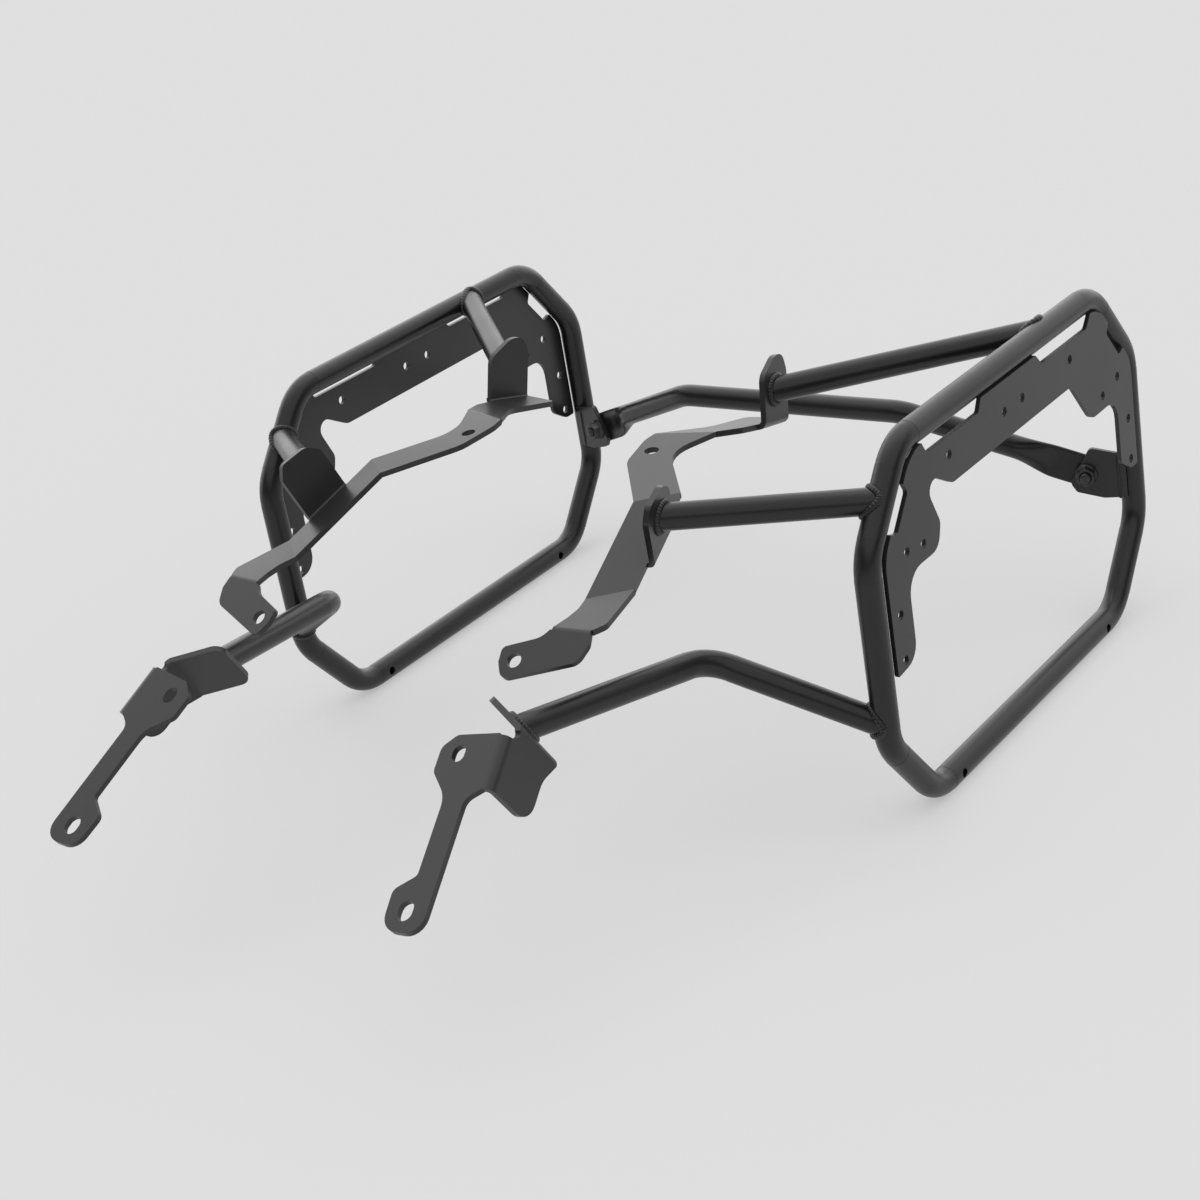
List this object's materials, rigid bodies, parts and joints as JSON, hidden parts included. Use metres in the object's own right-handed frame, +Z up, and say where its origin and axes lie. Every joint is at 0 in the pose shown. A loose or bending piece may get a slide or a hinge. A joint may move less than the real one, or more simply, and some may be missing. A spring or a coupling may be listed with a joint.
{
  "type": "pannier frame",
  "caption": "Pair of motorbike side racks: bent tube loops with drilled plates, stand-off tubes, folded brackets and a bolted rear cross brace.",
  "frame": {"origin": "centre of the footprint, at the height of the loops' undersides", "axes": "+Z up, +Y to the motorbike's rear, +X to the side seen on the right of the picture"},
  "size_m": [0.535, 0.7469, 0.2776],
  "materials": {
    "frame": "satin black powder coat",
    "fixings": "black zinc plated"
  },
  "bodies": {
    "root": {"left_loop_tube": "frame", "right_loop_tube": "frame", "left_adapter_plate": "frame", "right_adapter_plate": "frame", "left_rear_standoff": "frame", "right_rear_standoff": "frame", "left_front_standoff": "frame", "right_front_standoff": "frame", "left_lower_tube": "frame", "right_lower_tube": "frame", "left_strap_bracket": "frame", "right_strap_bracket": "frame", "left_footpeg_bracket": "frame", "right_footpeg_bracket": "frame", "left_brace_tab": "frame", "right_brace_tab": "frame", "left_brace_bolt": "fixings", "right_brace_bolt": "fixings", "left_brace_nut": "fixings", "right_brace_nut": "fixings", "left_rear_standoff_loop_weld": "frame", "right_rear_standoff_loop_weld": "frame", "left_rear_standoff_tab_weld": "frame", "right_rear_standoff_tab_weld": "frame", "left_front_standoff_loop_weld": "frame", "right_front_standoff_loop_weld": "frame", "left_front_standoff_tab_weld": "frame", "right_front_standoff_tab_weld": "frame", "left_lower_tube_loop_weld": "frame", "right_lower_tube_loop_weld": "frame", "left_lower_tube_bracket_weld": "frame", "right_lower_tube_bracket_weld": "frame", "left_brace_tab_weld": "frame", "right_brace_tab_weld": "frame", "cross_brace": "frame"}
  },
  "joints": []
}
